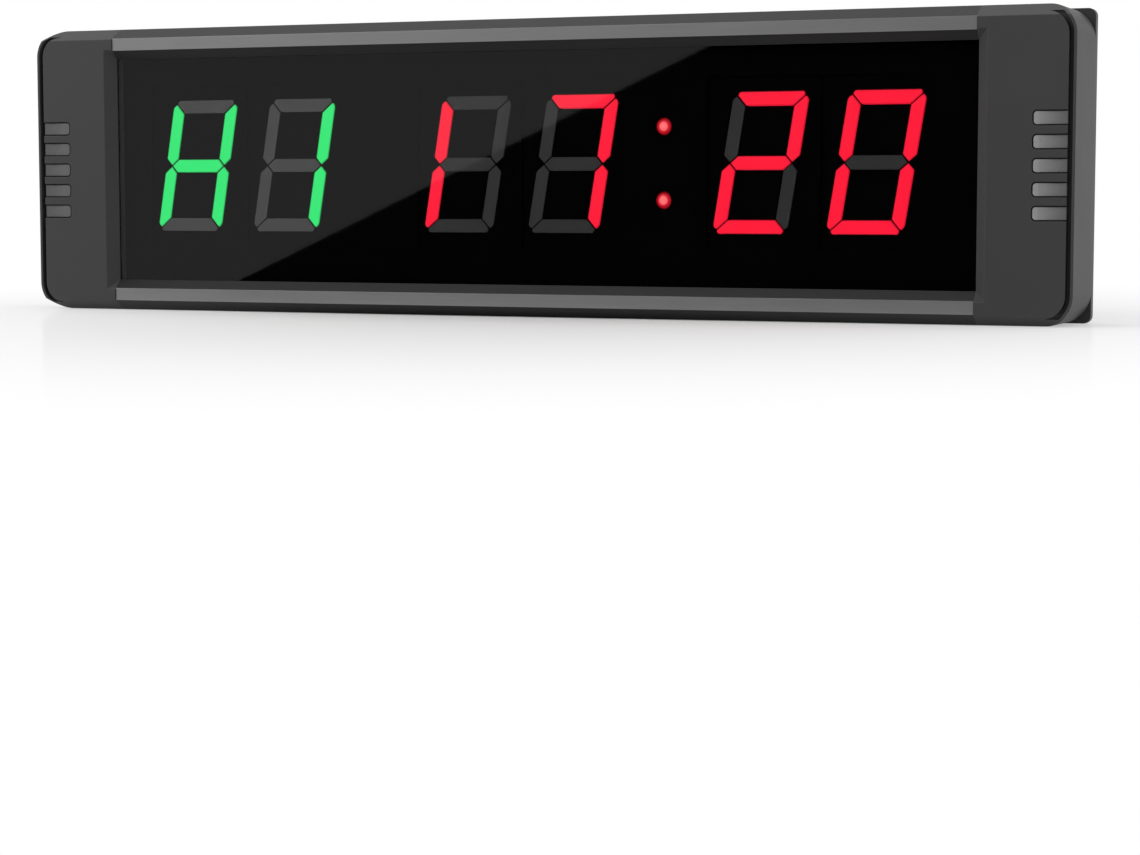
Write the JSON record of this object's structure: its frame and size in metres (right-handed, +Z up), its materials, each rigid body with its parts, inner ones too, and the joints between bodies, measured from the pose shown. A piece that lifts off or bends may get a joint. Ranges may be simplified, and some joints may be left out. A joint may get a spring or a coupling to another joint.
{
  "type": "interval timer display",
  "caption": "Wall or tabletop interval timer with slanted seven-segment digits and a colon behind a smoked lens, in an aluminium frame with ribbed plastic end caps.",
  "frame": {"origin": "centre of the bottom face", "axes": "+X to the right of someone reading the display, the display faces -Y, +Z up"},
  "size_m": [0.31, 0.0274, 0.0826],
  "materials": {
    "brushed_aluminium": "dark grey brushed anodised",
    "cap_plastic": "fine satin moulded, dark grey",
    "cap_back_plastic": "fine grain, black",
    "grip_plastic": "satin grey",
    "black_screw_steel": "black oxide",
    "smoked_acrylic": "polished, smoked",
    "mask_film": "matt black film",
    "board_laminate": "green solder mask",
    "panel_paint": "black powder coat on sheet aluminium",
    "digit_housing_plastic": "matt black",
    "unlit_diffuser": "grey tinted diffuser",
    "tinned_wire": "tinned",
    "receiver_resin": "dark infrared resin",
    "black_gloss_plastic": "black",
    "inlet_plastic": "black",
    "inlet_pin_brass": "nickel-plated brass",
    "chip_resin": "black epoxy, tinned legs",
    "crystal_can": "pressed can",
    "capacitor_can": "bare can",
    "resistor_ceramic": "black glaze with tinned ends",
    "holder_plastic": "black",
    "cell_steel": "nickel-plated",
    "zinc_plate": "bright zinc plate",
    "zinc_screw": "bright zinc plate",
    "nylon": "natural nylon",
    "green_light": "lit diffuser",
    "red_light": "lit diffuser",
    "red_dot_light": "lit diffuser"
  },
  "bodies": {
    "case": {"bottom_rail": "brushed_aluminium", "buzzer": "black_gloss_plastic", "capacitors": "capacitor_can", "clock_cell": "cell_steel", "clock_cell_holder": "holder_plastic", "colon_dots": "red_dot_light", "colon_module": "digit_housing_plastic", "crystal": "crystal_can", "digit_1_green_segments": "green_light", "digit_1_housing": "digit_housing_plastic", "digit_1_unlit_segments": "unlit_diffuser", "digit_2_green_segments": "green_light", "digit_2_housing": "digit_housing_plastic", "digit_2_unlit_segments": "unlit_diffuser", "digit_3_housing": "digit_housing_plastic", "digit_3_red_segments": "red_light", "digit_3_unlit_segments": "unlit_diffuser", "digit_4_housing": "digit_housing_plastic", "digit_4_red_segments": "red_light", "digit_4_unlit_segments": "unlit_diffuser", "digit_5_housing": "digit_housing_plastic", "digit_5_red_segments": "red_light", "digit_5_unlit_segments": "unlit_diffuser", "digit_6_housing": "digit_housing_plastic", "digit_6_red_segments": "red_light", "digit_6_unlit_segments": "unlit_diffuser", "digit_pins": "tinned_wire", "display_board": "board_laminate", "front_lens": "smoked_acrylic", "infrared_receiver": "receiver_resin", "left_cap_back": "cap_back_plastic", "left_cap_screws": "black_screw_steel", "left_end_cap": "cap_plastic", "left_grip_pads": "grip_plastic", "left_pivot_nut": "zinc_screw", "left_pivot_screw": "zinc_screw", "left_pivot_washer": "nylon", "light_mask": "mask_film", "microcontroller": "chip_resin", "power_inlet": "inlet_plastic", "power_inlet_pin": "inlet_pin_brass", "rear_panel": "panel_paint", "rear_panel_screws": "black_screw_steel", "resistors": "resistor_ceramic", "right_cap_back": "cap_back_plastic", "right_cap_screws": "black_screw_steel", "right_end_cap": "cap_plastic", "right_grip_pads": "grip_plastic", "right_pivot_nut": "zinc_screw", "right_pivot_screw": "zinc_screw", "right_pivot_washer": "nylon", "segment_drivers": "chip_resin", "top_rail": "brushed_aluminium"},
    "left_ear": {"left_hanging_ear": "zinc_plate"},
    "right_ear": {"right_hanging_ear": "zinc_plate"}
  },
  "joints": [
    {"name": "left_ear_swivel", "type": "hinge", "parent": "case", "child": "left_ear", "pos_m": [-0.1, 0.0117, 0.068], "axis": [0, 1, 0], "range_deg": [-180, 0]},
    {"name": "right_ear_swivel", "type": "hinge", "parent": "case", "child": "right_ear", "pos_m": [0.1, 0.0117, 0.068], "axis": [0, 1, 0], "range_deg": [0, 180]}
  ]
}
